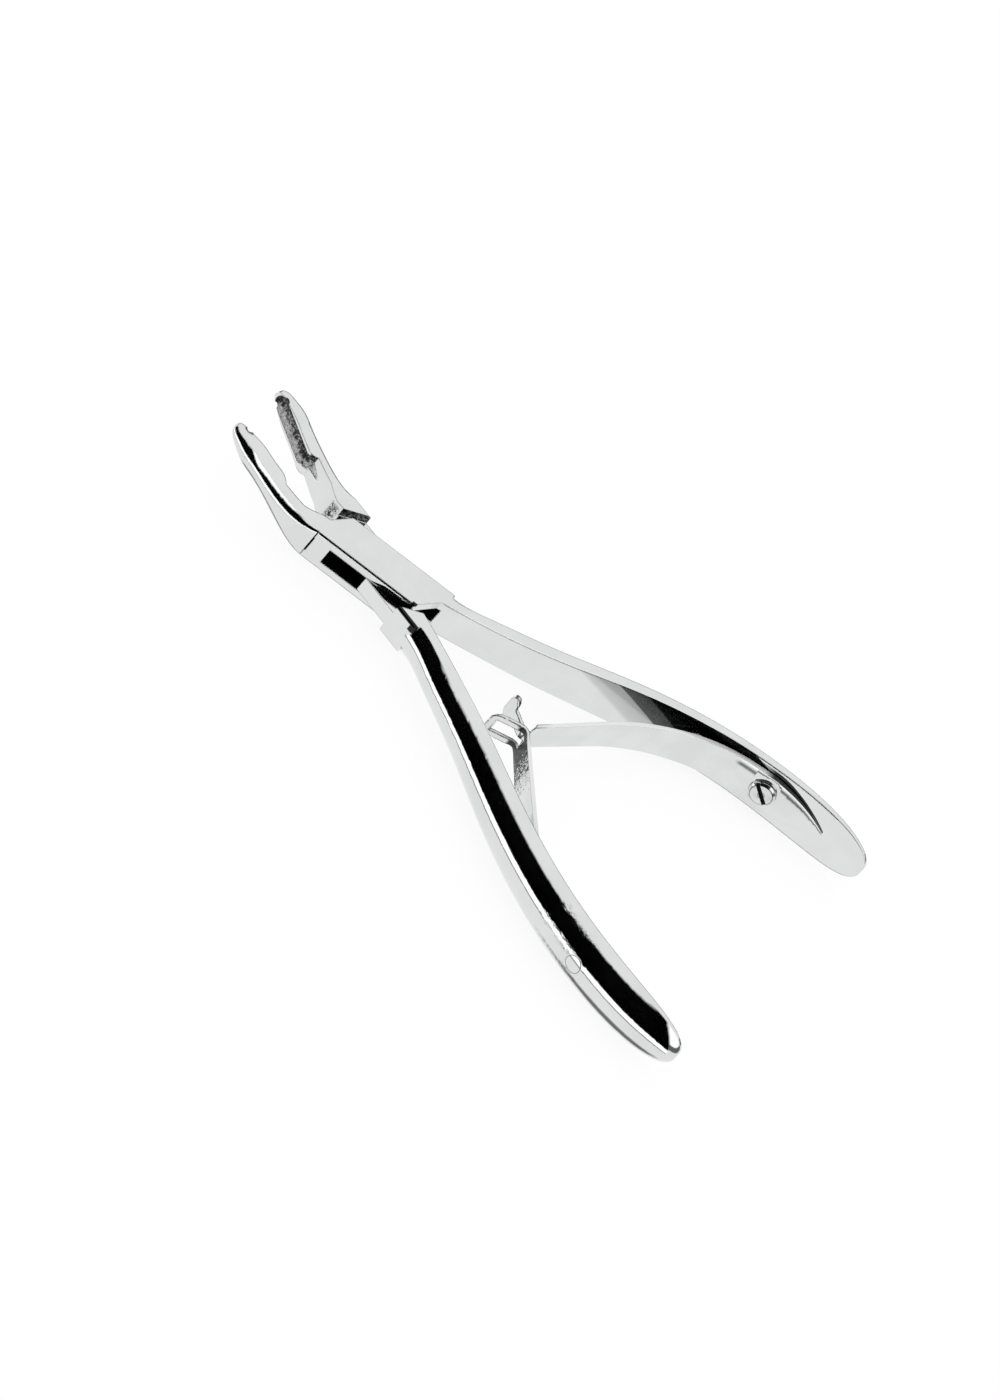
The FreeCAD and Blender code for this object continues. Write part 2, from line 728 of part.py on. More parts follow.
def screw_frame(side):
    """Placement whose origin is under the screw head and whose Z runs inwards from the handle."""
    angle, on_bow = handle_angle_at(cell("screw_reach"))
    x, y = handle_line(angle, on_bow)
    seat = cell("leaf_seat_gap") + cell("leaf_thickness") - cell("screw_seat_depth")
    point = Vector(x, y, 0) + unit(angle - 90.0) * seat
    turn = Rotation(Vector(0, 0, 1), side * angle) * Rotation(Vector(1, 0, 0), 90.0 * side)
    return Placement(Vector(point.x, side * point.y, 0), turn)


def cylinder(name, radius, height, place):
    feature = doc.addObject("Part::Cylinder", name)
    feature.setExpression("Radius", radius)
    feature.setExpression("Height", height)
    feature.Placement = place
    return feature


def boolean(kind, name, base, tool):
    feature = doc.addObject("Part::" + kind, name)
    feature.Base = base
    feature.Tool = tool
    return feature


def leaf_spring(name, side, path, side_view):
    """Common solid of strip and side outline, with the screw hole and the flat under its head."""
    strip = extrusion(name + "_strip", strip_plan(name + "_plan", path, side), "dims.leaf_width + 2")
    blank = extrusion(name + "_blank", side_view, "dims.leaf_tail_reach")
    leaf = boolean("Common", name + "_leaf", strip, blank)
    frame = screw_frame(side)
    below = frame.multiply(Placement(Vector(0, 0, -4), Rotation()))
    shank = cylinder(name + "_hole", "dims.screw_diameter / 2 + dims.screw_clearance", "8", below)
    drilled = boolean("Cut", name + "_drilled", leaf, shank)
    seat = cylinder(name + "_seat", "dims.screw_head_diameter / 2 + dims.screw_clearance", "3", frame)
    flat = boolean("Cut", name + "_flat", drilled, seat)
    if name != "slot_spring":
        return flat
    half = "dims.link_slot_width / 2"
    corner = "dims.hook_corner_reach + dims.link_corner_offset"
    start = corner + " + dims.link_slot_lead"
    end = corner + " - dims.link_slot_run"
    corners = [(end, "-" + half), (start, "-" + half), (start, half), (end, half)]
    slot = extrusion(name + "_slot", leaf_side(name + "_slot_side", corners, None), "dims.leaf_tail_reach")
    return boolean("Cut", name + "_slotted", flat, slot)


def screw(name, side):
    """Slotted screw with a low bevelled head. Its end follows the bowed back of the handle."""
    body = new_body(name + "_body")
    shank = "dims.screw_diameter / 2"
    head = "dims.screw_head_diameter / 2"
    high = "dims.screw_head_height"
    long = "-(dims.grip_thickness + 3)"
    corners = [("0", long), (shank, long), (shank, "0"), (head, "0"), (head, high + " * 0.55"),
               (head + " * 0.8", high), ("0", high)]
    sketch = outline(sketch_on(body, name + "_profile", "XZ_Plane"), corners)
    turned = body.newObject("PartDesign::Revolution", name + "_turned")
    turned.Profile = sketch
    turned.ReferenceAxis = (sketch, ["V_Axis"])
    turned.Angle = 360.0
    half = "dims.screw_slot_width / 2"
    corners = [("-" + half, high + " - dims.screw_slot_depth"), (half, high + " - dims.screw_slot_depth"),
               (half, high + " + 1"), ("-" + half, high + " + 1")]
    slot = outline(sketch_on(body, name + "_slot", "XZ_Plane"), corners)
    pocket(body, slot, "dims.screw_head_diameter * 2")
    body.Placement = screw_frame(side)
    half_breadth = "(dims.grip_breadth / 2)"
    back = "(dims.handle_crown_ratio * dims.grip_breadth / 2)"
    radius = "(%s * %s + %s * %s) / (2 * %s)" % (half_breadth, half_breadth, back, back, back)
    angle, on_bow = handle_angle_at(cell("screw_reach"))
    x, y = handle_line(angle, on_bow)
    depth = cell("grip_thickness") * GRIP_SHARE_AT_SCREW - value(radius)
    axis = Vector(x, y, 0) + unit(angle + 90.0) * depth
    turn = Rotation(Vector(0, 0, 1), side * angle) * Rotation(Vector(0, 1, 0), 90.0)
    start = axis - unit(angle) * 10.0
    place = Placement(Vector(start.x, side * start.y, 0), turn)
    return boolean("Common", name, body, cylinder(name + "_back", radius, "20", place))


parts = {
    "box_half": (box_half(), 1),
    "tongue_half": (tongue_half(), -1),
    "pivot_pin": (cylinder("pivot_pin", "dims.pin_diameter / 2", "dims.box_thickness", Placement()), 0),
    "hook_spring": (leaf_spring("hook_spring", 1, hook_path(), hook_side()), 1),
    "slot_spring": (leaf_spring("slot_spring", -1, link_path(), link_side()), -1),
    "hook_spring_screw": (screw("hook_spring_screw", 1), 1),
    "slot_spring_screw": (screw("slot_spring_screw", -1), -1),
}

# Each half, with what it carries, is lifted onto the underside plane and turned open
for node, (item, side) in parts.items():
    item.Label = node
    if side:
        turn = Rotation(Vector(0, 0, 1), side * cell("open_half_angle"))
        item.Placement = Placement(Vector(0, 0, cell("box_thickness") / 2), turn).multiply(item.Placement)
doc.recompute()

faults = []
for item in doc.Objects:
    if "Invalid" in item.State or "Error" in item.State:
        faults.append("%s is %s" % (item.Name, item.State))
for node, (item, side) in parts.items():
    shape = item.Shape
    if shape.isNull() or not shape.isValid() or len(shape.Solids) != 1:
        faults.append("%s has no single valid solid" % node)
if faults:
    raise RuntimeError("; ".join(faults))

os.makedirs("parts", exist_ok=True)
for node, (item, side) in parts.items():
    print(node, round(item.Shape.Volume, 2), "mm3")
    item.Shape.exportStep("parts/%s.step" % node)
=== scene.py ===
# %% [markdown]
# Bone rongeur, polished steel
#
# The instrument is two forged halves that cross in a box lock, with a pair of cupped jaws at one
# end, bowed handles at the other and two leaf springs that hook into each other between them.
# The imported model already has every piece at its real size, so this lesson starts from it.

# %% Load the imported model
import math

import bpy
from mathutils import Matrix, Vector


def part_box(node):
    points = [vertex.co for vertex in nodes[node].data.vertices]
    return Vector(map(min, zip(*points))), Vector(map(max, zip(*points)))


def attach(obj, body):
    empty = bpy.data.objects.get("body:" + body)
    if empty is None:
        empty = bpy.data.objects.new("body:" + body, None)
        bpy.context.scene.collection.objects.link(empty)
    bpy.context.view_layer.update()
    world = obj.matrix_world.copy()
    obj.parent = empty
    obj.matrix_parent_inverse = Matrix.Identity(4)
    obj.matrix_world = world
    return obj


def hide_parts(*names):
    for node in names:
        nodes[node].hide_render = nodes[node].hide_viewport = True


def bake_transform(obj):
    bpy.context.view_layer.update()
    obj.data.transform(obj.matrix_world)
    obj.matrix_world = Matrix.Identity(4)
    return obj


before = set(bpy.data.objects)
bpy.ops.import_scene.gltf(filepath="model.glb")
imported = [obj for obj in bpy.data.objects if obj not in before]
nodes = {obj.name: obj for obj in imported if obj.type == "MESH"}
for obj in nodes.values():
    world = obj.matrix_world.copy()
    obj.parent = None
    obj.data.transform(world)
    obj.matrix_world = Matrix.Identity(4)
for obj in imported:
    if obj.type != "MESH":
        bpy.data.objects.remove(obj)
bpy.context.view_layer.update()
print("nodes:", sorted(nodes))
MM = 0.001

# %% [markdown]
# The camera
#
# The camera stands a metre and a half away, above the handles and a little to one side, and is
# rolled, so that the instrument lies across the picture as it does in the photograph. The lens
# is long, because the far handle is nearly as large as the near one.

# %% Camera
AZIMUTH = math.radians(4.15)
ELEVATION = math.radians(39.34)
ROLL = math.radians(41.87)
DISTANCE = 1508 * MM
# where the pivot lies from the middle of the picture, measured at the pivot's distance
PIVOT_RIGHT = -24.75 * MM
PIVOT_UP = 25.12 * MM
PIVOT_MIDDLE = Vector((0, 0, 4 * MM))
SENSOR = 36.0
LENS = 195.87
NEAREST = 0.05
FARTHEST = 20

turn = Matrix.Rotation(AZIMUTH, 3, "Z")
forward = turn @ Vector((0, math.cos(ELEVATION), -math.sin(ELEVATION)))
level_right = turn @ Vector((1, 0, 0))
level_up = level_right.cross(forward)
right = math.cos(ROLL) * level_right + math.sin(ROLL) * level_up
up = math.cos(ROLL) * level_up - math.sin(ROLL) * level_right

camera_data = bpy.data.cameras.new("camera")
camera_data.sensor_width = SENSOR
camera_data.lens = LENS
camera_data.clip_start = NEAREST
camera_data.clip_end = FARTHEST
camera = bpy.data.objects.new("camera", camera_data)
bpy.context.scene.collection.objects.link(camera)
place = PIVOT_MIDDLE - PIVOT_RIGHT * right - PIVOT_UP * up - DISTANCE * forward
axes = Matrix((right, up, -forward)).transposed().to_4x4()
camera.matrix_world = Matrix.Translation(place) @ axes
bpy.context.scene.camera = camera
bpy.context.scene.view_settings.view_transform = "Standard"
print("camera at", [round(c, 3) for c in place])

# %% [markdown]
# Shader maths
#
# A finish is easier to read when its numbers are combined with plain signs, so one small class
# stands for a socket and adds a Math node for each sign. A second class stands for the node tree
# and has a method for each thing that the finishes below share.

# %% Shader helper
class Value:
    """A number or a colour on its way through a material."""

    def __init__(self, tree, socket):
        self.tree = tree
        self.socket = socket

    def math(self, operation, other=None, swap=False):
        inputs = [self, other] if other is not None else [self]
        if swap:
            inputs.reverse()
        return self.tree.node("ShaderNodeMath", {"operation": operation}, *inputs)

    def __add__(self, other):
        return self.math("ADD", other)

    def __sub__(self, other):
        return self.math("SUBTRACT", other)

    def __rsub__(self, other):
        return self.math("SUBTRACT", other, swap=True)

    def __mul__(self, other):
        return self.math("MULTIPLY", other)

    __radd__ = __add__
    __rmul__ = __mul__

    def max(self, other):
        return self.math("MAXIMUM", other)

    def size(self):
        return self.math("ABSOLUTE")


class Tree:
    """A node tree that is built by calls."""

    def __init__(self, owner):
        owner.use_nodes = True
        self.nodes = owner.node_tree.nodes
        self.links = owner.node_tree.links
        self.nodes.clear()

    def node(self, kind, settings, *inputs, output=0, **named):
        """A new node with its settings, its inputs in order and then its inputs by name."""
        made = self.nodes.new(kind)
        for key, setting in settings.items():
            if key == "stops":
                self.ramp(made, setting)
            else:
                setattr(made, key, setting)
        for index, source in enumerate(inputs):
            self.feed(made.inputs[index], source)
        for key, source in named.items():
            self.feed(made.inputs[key.replace("_", " ")], source)
        return Value(self, made.outputs[output]) if made.outputs else made

    def ramp(self, made, stops):
        elements = made.color_ramp.elements
        while len(elements) < len(stops):
            elements.new(0.5)
        for element, (position, level) in zip(elements, stops):
            element.position = position
            element.color = (level, level, level, 1)

    def feed(self, socket, source):
        if isinstance(source, Value):
            self.links.new(source.socket, socket)
        elif source is not None:
            socket.default_value = source

    def rays(self, kind):
        """1 for the rays that Light Path calls by this name."""
        return Value(self, self.node("ShaderNodeLightPath", {}).socket.node.outputs[kind])

    def surface(self):
        """Where the shaded point lies, in millimetres, and its normal."""
        outputs = self.node("ShaderNodeTexCoord", {}).socket.node.outputs
        place = self.node("ShaderNodeVectorMath", {"operation": "SCALE"}, Value(self, outputs["Object"]),
                          Scale=1 / MM)
        return place, Value(self, outputs["Normal"])

    def parts(self, vector):
        """The three numbers of a vector."""
        apart = self.node("ShaderNodeSeparateXYZ", {}, vector).socket.node.outputs
        return [Value(self, apart[axis]) for axis in "XYZ"]

    def vector_maths(self, operation, first, second, output=0):
        return self.node("ShaderNodeVectorMath", {"operation": operation}, first, second, output=output)

    def noise(self, place, scale, detail, **more):
        return self.node("ShaderNodeTexNoise", {}, place, Scale=scale, Detail=detail, **more)

    def run(self, number, start, end, low, high):
        """Goes from low to high while number goes from start to end, and no further."""
        return self.node("ShaderNodeMapRange", {}, number, start, end, low, high)

    def step(self, number, start, end):
        """0 at start and 1 at end, either of which may be the larger, and level beyond them."""
        if start < end:
            return self.run(number, start, end, 0.0, 1.0)
        return self.run(number, end, start, 1.0, 0.0)

    def within(self, number, low, high, soft):
        """1 between low and high, with soft borders outside them."""
        return self.step(number, low - soft, low) * self.step(number, high + soft, high)

    def mix(self, share, first, second):
        """A blend of two colours."""
        return self.node("ShaderNodeMix", {"data_type": "RGBA"}, share, None, None, None, None, None,
                         first, second, output=2)

    def mix_normals(self, share, first, second):
        return self.node("ShaderNodeMix", {"data_type": "VECTOR"}, share, None, None, None,
                         first, second, output=1)

    def rounded(self, radius, samples=6):
        """The normal of a surface whose edges are rounded in the shading alone."""
        return self.node("ShaderNodeBevel", {"samples": samples}, radius)

    def true_normal(self):
        return self.node("ShaderNodeNewGeometry", {}, output=1)

    def metal_surface(self, colour, metal, polish, relief, edges):
        """Ends the tree. relief is in thousandths of a millimetre."""
        bump = self.node("ShaderNodeBump", {}, Strength=1.0, Distance=MM * 0.001, Height=relief, Normal=edges)
        shader = self.node("ShaderNodeBsdfPrincipled", {}, colour, metal, polish, Normal=bump)
        self.node("ShaderNodeOutputMaterial", {}, shader)


print("signs that become Math nodes: + - *")

# %% [markdown]
# Light
#
# Polished steel has no colour of its own: it shows what stands around it. Here that is white
# paper below, a white tent overhead and, between them, the dark part of the room, which stands
# tall in front of the table and is only a thin band elsewhere. To the right a window, brighter
# than the paper, takes the dark part's place, with its frame and its sill. A bright strip of
# paper curls up under the dark part, with a dark edge below it, and what faces straight down
# mirrors the instrument's own shadow. The world below has these by direction, for reflections
# alone. Everything else is lit by plain white from all sides.

# %% World
ROOM_LOW = -0.21
ROOM_TOP = 0.90
ROOM_RIGHT = 0.17
WINDOW_LEFT = 0.21
STRIP_LOW = -0.40
PAPER_EDGE_LOW = -0.49

world = bpy.data.worlds.new("studio")
bpy.context.scene.world = world
tree = Tree(world)
across, along, height = tree.parts(tree.node("ShaderNodeTexCoord", {}))
right_hand = across + along * 0.6
front = tree.step(across * 0.35 + along, 0.05, -0.15)
front = front * tree.step(right_hand, ROOM_RIGHT, ROOM_RIGHT - 0.06)
beside_room = tree.step(right_hand, ROOM_RIGHT, WINDOW_LEFT)
window = beside_room * tree.step(along, -0.11, -0.14) * tree.within(height, 0.27, 0.97, 0.03)
sill = beside_room * tree.within(height, 0.19, 0.24, 0.02)
window_frame = tree.within(along, -0.10, -0.08, 0.015) * tree.step(right_hand, 0.0, 0.1)
window_frame = window_frame * tree.step(height, 0.6, 0.7)
room = front * tree.step(height, ROOM_LOW, ROOM_LOW + 0.04)
room = room * tree.step(height - across * 0.23, ROOM_TOP, ROOM_TOP - 0.05)
far_room = tree.within(height, -0.06, 0.24, 0.05) * 0.85
strip = front * tree.within(height, STRIP_LOW, ROOM_LOW, 0.03) * 0.75
paper_edge = front * tree.within(height, PAPER_EDGE_LOW, PAPER_EDGE_LOW + 0.03, 0.015) * 0.85
own_shadow = tree.step(height, -0.955, -0.985) * 0.8
trim = (window_frame * 0.9).max(sill * 0.6)
dark = room.max(far_room).max(paper_edge).max(own_shadow).max(trim)
strength = 1.0 - tree.rays("Is Glossy Ray") * (dark - strip - window * 0.45)
background = tree.node("ShaderNodeBackground", {}, (1, 1, 1, 1), strength)
tree.node("ShaderNodeOutputWorld", {}, background)
print("world:", world.name)

# %% [markdown]
# The table
#
# The instrument lies on white paper. A plane with a plain white finish would turn grey in the
# picture, so the camera sees most of it as glowing white, and the rest as paper that takes the
# instrument's soft shadow. Reflections pass through it to the world's white lower half.

# %% Floor
PAPER_GLOW_SHARE = 0.86
PAPER_GLOW = 1.02
PAPER_WHITE = (0.95, 0.95, 0.95, 1)
PAPER_SIZE = 6.0

floor_z = min(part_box(name)[0].z for name in nodes)
bpy.ops.object.select_all(action="DESELECT")
bpy.ops.mesh.primitive_plane_add(size=PAPER_SIZE, location=(0, 0, floor_z))
floor = bpy.context.object
floor.name = "floor"
floor.visible_glossy = False
floor_finish = bpy.data.materials.new("white paper")
tree = Tree(floor_finish)
paper = tree.node("ShaderNodeBsdfDiffuse", {}, PAPER_WHITE)
glow = tree.node("ShaderNodeEmission", {}, (1, 1, 1, 1), PAPER_GLOW)
mixed = tree.node("ShaderNodeMixShader", {}, tree.rays("Is Camera Ray") * PAPER_GLOW_SHARE, paper, glow)
tree.node("ShaderNodeOutputMaterial", {}, mixed)
floor.data.materials.append(floor_finish)
print("floor at", round(floor_z / MM, 2), "mm")

# %% [markdown]
# Places on the halves
#
# A forged half isn't polished all over: no wheel reaches the slot of the lock or the cups, which
# stay rough. Painted shade darkens the slot, the ground cheek over the tongue, the seam and faces
# beside the shoulders, the deep part of the cups, the corner between the jaws, and the handle's
# inner face where its spring closes on it. Each such place is a mask, 0 outside and up to 1
# inside. The maths is in millimetres, in the frame of the closed instrument, because a half lies
# along the axes there and its places can be measured straight off it.

# %% Masks
OPEN_HALF_ANGLE = math.radians(11.25)
LOCK_HALF_WIDTH = 5.15
SLOT_LOW = 2.0
SLOT_HIGH = 6.0
SLOT_REACH = 13.9
SLOT_EXTRA = 1.4
LIP_START = 1.6
LIP_END = 9.5
LIP_SLOPE = 0.19
LEAF_TOP = 8.5
LEAF_TAIL = (90.7, 104.7)
LEAF_TAIL_DROP = 4.5


def closed_frame(x, y, side):
    """Where a point of a half lies when the instrument is closed. side is +1 for the box half."""
    cosine = math.cos(OPEN_HALF_ANGLE)
    sine = side * math.sin(OPEN_HALF_ANGLE)
    return x * cosine + y * sine, y * cosine - x * sine


def slot_shade_mask(tree, x, y, z):
    """1 inside the slot of the lock, which no polishing wheel reaches, and where black stands for painted
    shade.
    """
    lock_x, lock_y = closed_frame(x, y, 1)
    inside = tree.step(lock_y.size(), LOCK_HALF_WIDTH + 0.02, LOCK_HALF_WIDTH - 0.02)
    inside = inside * tree.within(z, SLOT_LOW, SLOT_HIGH, 0.02)
    reach = SLOT_REACH + tree.step(lock_y, 0.4, 0.2) * SLOT_EXTRA
    return inside * tree.step(lock_x.size() - reach, 0.1, 0.0)


def cheek_shade_mask(tree, own_x, own_y, z):
    """1 where the upper lip of the lock's slot is ground away, over the crossing tongue, and painted black as
    shade.
    """
    lip = SLOT_HIGH + (own_x - LIP_START) * LIP_SLOPE
    ground = tree.step(z - lip, 0.05, 0.0) * tree.within(own_x, LIP_START, LIP_END, 0.1)
    return ground * tree.step(own_y, -5.0, -5.1) * tree.step(z, 5.8, 5.9)


def shoulder_shade_mask(tree, own_x, own_y, z, turned_x):
    """1 on the faces of a half that close against the lock, and on the seam beside them, where painted shade
    darkens the half.
    """
    jaw_end = tree.step(own_x, -5.0, -5.5) * tree.step(turned_x, 0.4, 0.5) * tree.step(z, 5.9, 6.0)
    seam = tree.within(own_x, 9.0, 14.6, 0.1) * tree.step(own_y, -4.45, -4.6) * tree.step(z, 7.2, 7.35)
    corner = tree.within(own_x, 14.1, 16.2, 0.15) * tree.step(own_y, -4.4, -4.6) * tree.step(z, 5.9, 6.1)
    return jaw_end, seam.max(corner)


def cup_mask(tree, own_x, own_y, turned_y, side):
    """1 in the cup of a jaw and in the scoop behind it, and how deep the point lies in it, so that painted
    shade can darken the deeper part.
    """
    depth = own_y * -side
    needed = tree.run(own_x, -27.1, -24.9, 0.15, 1.74)
    hollow = tree.step(depth - needed, 0.0, 0.05) * tree.step(own_x, -14.0, -15.0)
    return hollow * tree.step(turned_y * side, 0.05, 0.12), depth - needed


def root_shade_mask(tree, own_x, own_y, z):
    """1 in the corner between the jaws, at the root of the scoop, where painted shade darkens it."""
    spot = tree.within(own_x, -16.2, -14.6, 0.8) * tree.within(own_y, -0.5, 0.4, 0.1)
    return spot * tree.within(z, 3.0, 6.2, 1.2)


def under_leaf_mask(tree, own_x, z, turned_y, side):
    """How much painted shade darkens the inner face where the leaf spring closes on it."""
    inner_face = tree.step(turned_y * side, -0.75, -0.85)
    along = own_x + z * 1.9
    dimmed = tree.step(along, 60.0, 62.0) * 0.22 + tree.step(along, 62.0, 70.0) * 0.16
    darker = tree.step(along, 69.8, 70.4) * 0.47 + tree.step(along, 76.6, 77.4) * 0.15
    into_tail = tree.run(own_x, *LEAF_TAIL, 0.0, 1.0)
    leaf_edge = LEAF_TOP - into_tail * into_tail * LEAF_TAIL_DROP
    above = tree.run(own_x, 72.0, 88.0, 5.0, 0.25)
    beside = tree.step(z - leaf_edge - above + into_tail * 0.2, 0.1, -0.05)
    lowest = tree.run(own_x, 62.0, 72.0, 0.0, 6.6)
    beside = beside * tree.step(z - lowest + into_tail * 2.6, -0.1, 0.1)
    return inner_face * (dimmed + darker) * beside * tree.step(own_x, 105.0, 104.6)


print("places: slot, cheek, shoulders, cup, root and under the leaf")

# %% [markdown]
# Polished steel
#
# Each half is one forging, ground and then polished on a wheel. The wheel leaves faint lines
# along the piece and very shallow waves, and it rounds every edge a little. A Bevel node rounds
# the edges in the shading alone, so that they catch a thin dark and a thin bright line, and the
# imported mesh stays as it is.

# %% Steel finish
BRIGHT = (0.735, 0.75, 0.745, 1)
DIM = (0.70, 0.715, 0.71, 1)
BLACK = (0.004, 0.004, 0.004, 1)
GROUND_EDGE = 0.85 * MM
BOX_EDGE = 0.5 * MM
TONGUE_EDGE = 0.35 * MM
RIVET_EDGE = 0.01 * MM
DENTED = (80.0, 89.0)
DENT_DEPTH = 110.0


def polished(tree, place, roughness, waves):
    """The colour, the roughness and the relief that the polishing wheel leaves."""
    clouds = tree.noise(place, 0.09, 4.0, Roughness=0.6)
    lines = tree.node("ShaderNodeMapping", {}, place, Scale=(0.35, 5.0, 5.0))
    lines = tree.noise(lines, 1.0, 3.0, Roughness=0.7)
    swell = tree.noise(place, 0.35, 2.0, Roughness=0.5)
    patches = tree.step(clouds, 0.40, 0.62)
    colour = tree.mix(patches, DIM, BRIGHT)
    return colour, roughness + patches * 0.02 + lines * 0.03, swell * waves + lines * (waves * 0.02)


def half_edges(tree, x, y, z, own_x, own_y, edge, side):
    """The rounded normal of a half, sharp around the rivet and at the root of the jaw."""
    near_rivet = (x * x + y * y).math("SQRT")
    crease = tree.within(own_x, -16.0, -12.0, 0.3) * tree.step(own_y, -3.6, -4.0)
    share = tree.step(near_rivet, 3.0, 3.2) * (1.0 - crease)
    edges = tree.rounded(edge)
    if side > 0:
        upper_rim = tree.within(own_x, 15.5, 104.0, 2.0) * tree.step(z, 6.5, 7.0)
        edges = tree.mix_normals(upper_rim, edges, tree.rounded(GROUND_EDGE, samples=8))
    return tree.mix_normals(share, tree.true_normal(), edges)


def half_steel(title, edge, side):
    """The finish of a half. side is +1 for the box half and -1 for the tongue half."""
    made = bpy.data.materials.new(title)
    tree = Tree(made)
    place, normal = tree.surface()
    x, y, z = tree.parts(place)
    normal_x, normal_y = tree.parts(normal)[:2]
    own_x, own_y = closed_frame(x, y, side)
    turned_x, turned_y = closed_frame(normal_x, normal_y, side)
    colour, polish, relief = polished(tree, place, roughness=0.035, waves=2.0)
    pits = tree.noise(place, 1.5, 6.0, Roughness=0.75, Distortion=1.0)

    slot = slot_shade_mask(tree, x, y, z)
    if side > 0:
        slot = slot.max(cheek_shade_mask(tree, own_x, own_y, z))
    cup, depth = cup_mask(tree, own_x, own_y, turned_y, side)
    jaw_end, seam = shoulder_shade_mask(tree, own_x, own_y, z, turned_x)
    shade = under_leaf_mask(tree, own_x, z, turned_y, side)

    # the cup is rough and flecked, and painted shade darkens it where it lies deeper
    rough_shaded_cup = {"stops": [(0.0, 0.01), (0.42, 0.03), (0.50, 0.5), (0.66, 0.8)]}
    cup_flecks_and_shade = tree.node("ShaderNodeValToRGB", rough_shaded_cup, pits + 0.05 - tree.step(depth, 0.9, 1.6) * 0.17)
    # painted shade with pits in it, for the faces that close against the lock
    pitted_shade_stops = {"stops": [(0.0, 0.01), (0.50, 0.02), (0.60, 0.3)]}
    pitted_shade = tree.node("ShaderNodeValToRGB", pitted_shade_stops, pits)
    # painted shade: black in the slot of the lock, over the ground cheek and along the seam beside the
    # shoulders
    colour = tree.mix(slot.max(seam * 0.97), colour, BLACK)
    # painted shade on the inner face, under the leaf spring
    colour = tree.mix(shade * (0.85 + pits * 0.3), colour, BLACK)
    colour = tree.mix(cup, colour, cup_flecks_and_shade)
    # the faces that close against the lock are pitted and painted nearly black as shade
    colour = tree.mix(jaw_end, colour, pitted_shade)
    # painted shade in the corner between the jaws
    root_shade = root_shade_mask(tree, own_x, own_y, z) * tree.step(pits, 0.56, 0.47)
    colour = tree.mix(root_shade, colour, BLACK)

    polish = polish + slot * 0.7 + (cup + jaw_end) * 0.3 + shade * 0.2
    relief = relief + (cup + jaw_end) * (pits * 12.0)
    if side < 0:
        hammered = tree.noise(place, 0.55, 4.0, Roughness=0.65)
        relief = relief + tree.within(own_x, *DENTED, 3.0) * (hammered * DENT_DEPTH)
    edges = half_edges(tree, x, y, z, own_x, own_y, edge, side)
    tree.metal_surface(colour, 1.0 - cup * 0.8, polish, relief, edges)
    return made


def rivet_steel(title):
    made = bpy.data.materials.new(title)
    tree = Tree(made)
    place = tree.surface()[0]
    colour, polish, relief = polished(tree, place, roughness=0.04, waves=1.0)
    tree.metal_surface(colour, 1.0, polish, relief, tree.rounded(RIVET_EDGE))
    return made


def paint(item, finish):
    item.data.materials.clear()
    item.data.materials.append(finish)


paint(nodes["box_half"], half_steel("polished box half", BOX_EDGE, 1))
paint(nodes["tongue_half"], half_steel("polished tongue half", TONGUE_EDGE, -1))
paint(nodes["pivot_pin"], rivet_steel("ground rivet"))
print("finishes:", [m.name for m in bpy.data.materials if m.use_nodes])

# %% [markdown]
# Spring steel
#
# The springs are polished on their faces and ground dull along their cut edges. Where they hook
# into each other, painted shade darkens their edges and the face beside the bend, and a painted
# shadow darkens the cut edges of the tails. Noise breaks up the border of the shade beside the
# bend, so that it ends in flecks.

# %% Spring finish
BEND_SHADE_START = 42.0
HOOK_SHADE_REACH = 30.0
LINK_SHADE_REACH = 49.0
SPRING_ROUNDING = 0.12 * MM
EDGE_SHADE_WIDTH = 0.5 * MM
SPRING_SHINE = (0.73, 0.745, 0.74, 1)
SPRING_DIM = (0.69, 0.705, 0.70, 1)
CUT_EDGE = (0.78, 0.79, 0.785, 1)


def spring_finish(title, shade_reach):
    """The last argument sets how far along x the painted shade beside the bend reaches, in millimetres."""
    made = bpy.data.materials.new(title)
    tree = Tree(made)
    place, normal = tree.surface()
    x = tree.parts(place)[0]
    normal_z = tree.parts(normal)[2]
    pits = tree.noise(place, 1.1, 5.0, Roughness=0.7, Distortion=1.5)
    clouds = tree.noise(place, 0.15, 3.0)
    # the wide rounding departs from the true normal only near an edge
    wide_rounding = tree.rounded(EDGE_SHADE_WIDTH, samples=8)
    alike = tree.vector_maths("DOT_PRODUCT", wide_rounding, tree.true_normal(), output=1)
    near_edge = tree.step(alike, 0.995, 0.95)
    tip = tree.step(x, 46.5, 44.5)
    cut_edge = tree.step(normal_z.size(), 0.7, 0.8)
    dull = cut_edge * (1.0 - tip)

    # painted shade along the edges where the springs hook into each other, broken up by pits
    hook_edge_shade = near_edge * tip * tree.step(pits, 0.60, 0.50)
    # painted shade on the face beside the bend, which ends in flecks
    bend_shade = (1.0 - cut_edge) * tree.step(x + pits * 24.0, shade_reach + 13.0, shade_reach + 11.5)
    bend_shade = bend_shade * tree.step(x, BEND_SHADE_START, BEND_SHADE_START + 0.5)
    tail_shadow = cut_edge * tree.step(x, 82.0, 84.0)
    dark = hook_edge_shade.max(bend_shade * 0.93).max(tail_shadow * 0.95)

    colour = tree.mix(tree.step(clouds, 0.4, 0.6), SPRING_DIM, SPRING_SHINE)
    colour = tree.mix(dull, colour, CUT_EDGE)
    colour = tree.mix(dark, colour, BLACK)
    polish = 0.05 + clouds * 0.05 + cut_edge * 0.25 + dark * 0.3
    relief = clouds * 4.0 + (tip + bend_shade) * (pits * 5.0)
    tree.metal_surface(colour, 1.0 - dull * 0.8, polish, relief, tree.rounded(SPRING_ROUNDING))
    return made


